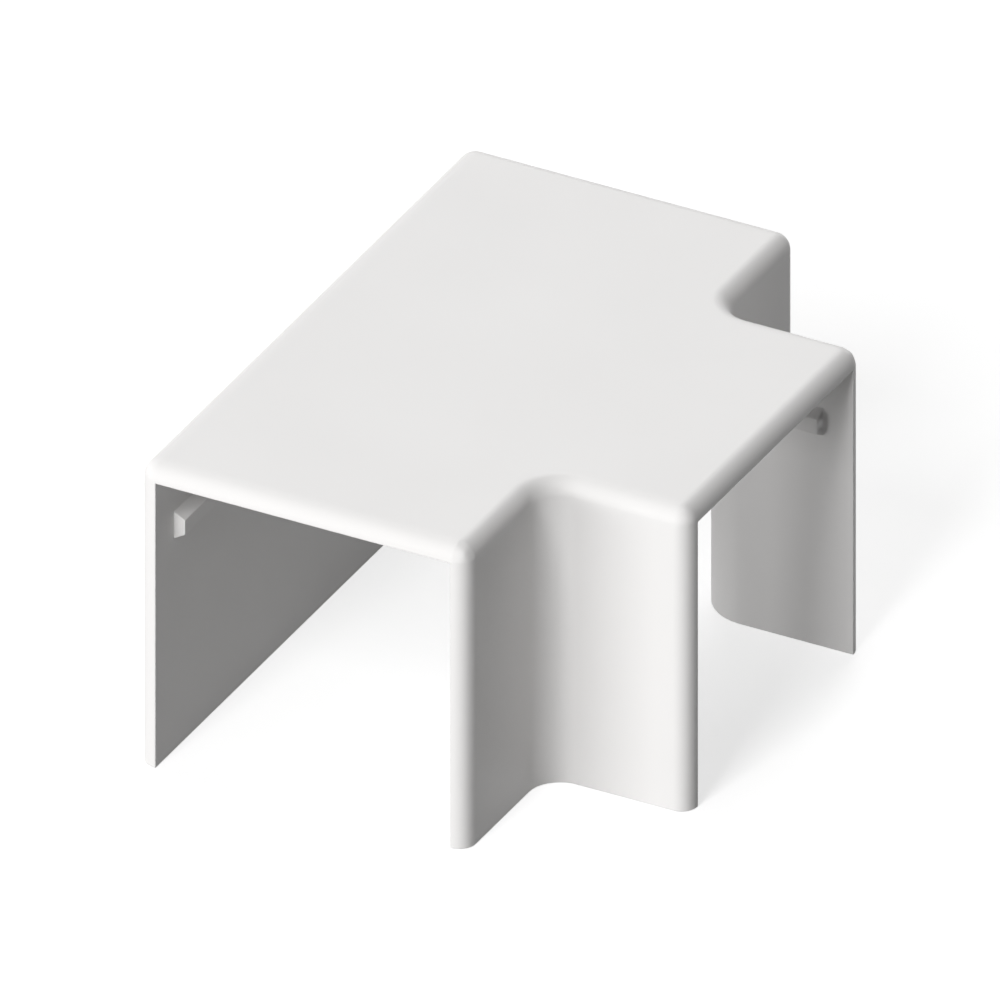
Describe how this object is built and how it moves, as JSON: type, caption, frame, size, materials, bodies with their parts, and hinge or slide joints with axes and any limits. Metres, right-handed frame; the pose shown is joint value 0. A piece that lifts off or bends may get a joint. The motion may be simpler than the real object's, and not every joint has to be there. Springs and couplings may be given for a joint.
{
  "type": "trunking tee fitting",
  "caption": "White moulded flat tee for square mini trunking: a channel-shaped cover that pushes on over the place where a branch leaves a straight run.",
  "frame": {"origin": "on the wall plane, at the crossing of the run's and the branch's centre lines", "axes": "+Y along the straight run, +X along the branch out of its mouth, +Z away from the wall"},
  "size_m": [0.0405, 0.0536, 0.0266],
  "materials": {
    "white_pvc": "white rigid PVC, satin, as moulded"
  },
  "bodies": {
    "root": {"tee_cover": "white_pvc"}
  },
  "joints": []
}
